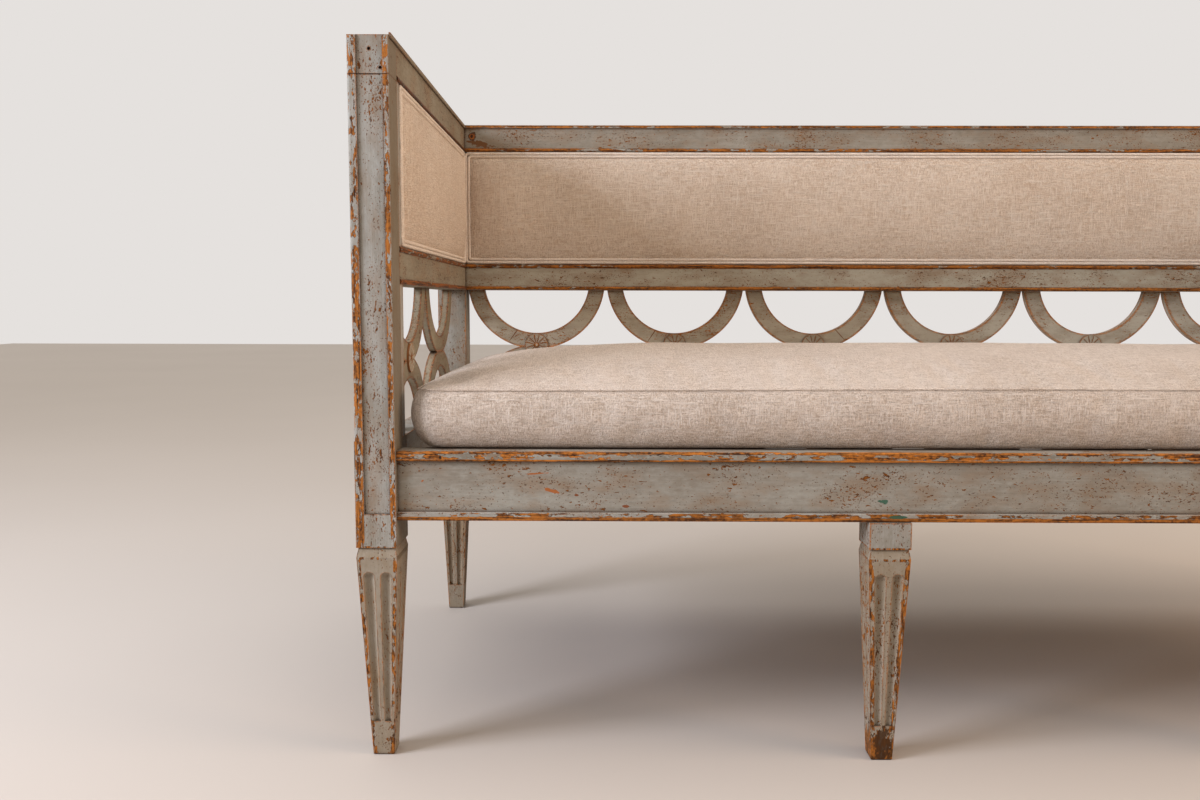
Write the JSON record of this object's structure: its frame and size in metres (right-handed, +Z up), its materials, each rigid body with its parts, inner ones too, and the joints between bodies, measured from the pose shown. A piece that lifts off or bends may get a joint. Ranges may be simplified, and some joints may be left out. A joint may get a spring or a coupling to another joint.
{
  "type": "sofa",
  "caption": "Long painted neoclassical settee with upholstered back and arm panels over sawn openwork arcs, fluted tapered legs and a loose box cushion.",
  "frame": {"origin": "on the floor under the middle of the bounding box", "axes": "+X along the settee's length to the right as the picture shows it, +Y from the front edge of the seat to the back, +Z up"},
  "size_m": [1.952, 0.676, 0.922],
  "materials": {
    "painted_wood": "old grey-green paint, rubbed through to orange-brown wood along the edges",
    "bare_wood": "unpainted, aged",
    "panel_linen": "plain woven linen",
    "welt_linen": "linen-covered cord",
    "lining_linen": "plain woven linen",
    "cushion_linen": "plain woven linen with slubs",
    "webbing": "coarse jute",
    "iron_nails": "dark, corroded"
  },
  "bodies": {
    "frame": {"arm_panel_welts": "welt_linen", "arm_rosettes": "painted_wood", "back_lower_arc_1": "painted_wood", "back_lower_arc_2": "painted_wood", "back_lower_arc_3": "painted_wood", "back_lower_arc_4": "painted_wood", "back_lower_arc_5": "painted_wood", "back_lower_arc_6": "painted_wood", "back_lower_arc_7": "painted_wood", "back_mid_rail": "painted_wood", "back_panel_lining": "lining_linen", "back_panel_padding": "panel_linen", "back_panel_webbing": "webbing", "back_panel_welt": "welt_linen", "back_rosettes": "painted_wood", "back_top_rail": "painted_wood", "back_top_strip": "painted_wood", "back_upper_arc_1": "painted_wood", "back_upper_arc_2": "painted_wood", "back_upper_arc_3": "painted_wood", "back_upper_arc_4": "painted_wood", "back_upper_arc_5": "painted_wood", "back_upper_arc_6": "painted_wood", "back_upper_arc_7": "painted_wood", "cap_nails": "iron_nails", "corner_blocks": "bare_wood", "front_post_left": "painted_wood", "front_post_right": "painted_wood", "front_rail_lower_moulding": "painted_wood", "front_rail_upper_moulding": "painted_wood", "front_seat_rail": "painted_wood", "left_arm_lower_arcs": "painted_wood", "left_arm_mid_rail": "painted_wood", "left_arm_panel_lining": "lining_linen", "left_arm_panel_padding": "panel_linen", "left_arm_stiles": "painted_wood", "left_arm_top_rail": "painted_wood", "left_arm_top_strip": "painted_wood", "left_arm_upper_arcs": "painted_wood", "mid_front_leg_left": "painted_wood", "mid_front_leg_right": "painted_wood", "post_cap_left": "painted_wood", "post_cap_right": "painted_wood", "rear_post_left": "painted_wood", "rear_post_right": "painted_wood", "rear_seat_rail": "painted_wood", "right_arm_lower_arcs": "painted_wood", "right_arm_mid_rail": "painted_wood", "right_arm_panel_lining": "lining_linen", "right_arm_panel_padding": "panel_linen", "right_arm_stiles": "painted_wood", "right_arm_top_rail": "painted_wood", "right_arm_top_strip": "painted_wood", "right_arm_upper_arcs": "painted_wood", "seat_bearers": "bare_wood", "seat_ledgers": "bare_wood", "seat_slats": "bare_wood", "side_seat_rail_left": "painted_wood", "side_seat_rail_right": "painted_wood"},
    "cushion": {"seat_cushion": "cushion_linen"}
  },
  "joints": [
    {"name": "cushion_lift", "type": "slide", "parent": "frame", "child": "cushion", "axis": [0, 0, 1], "range_m": [0, 0.6]}
  ]
}
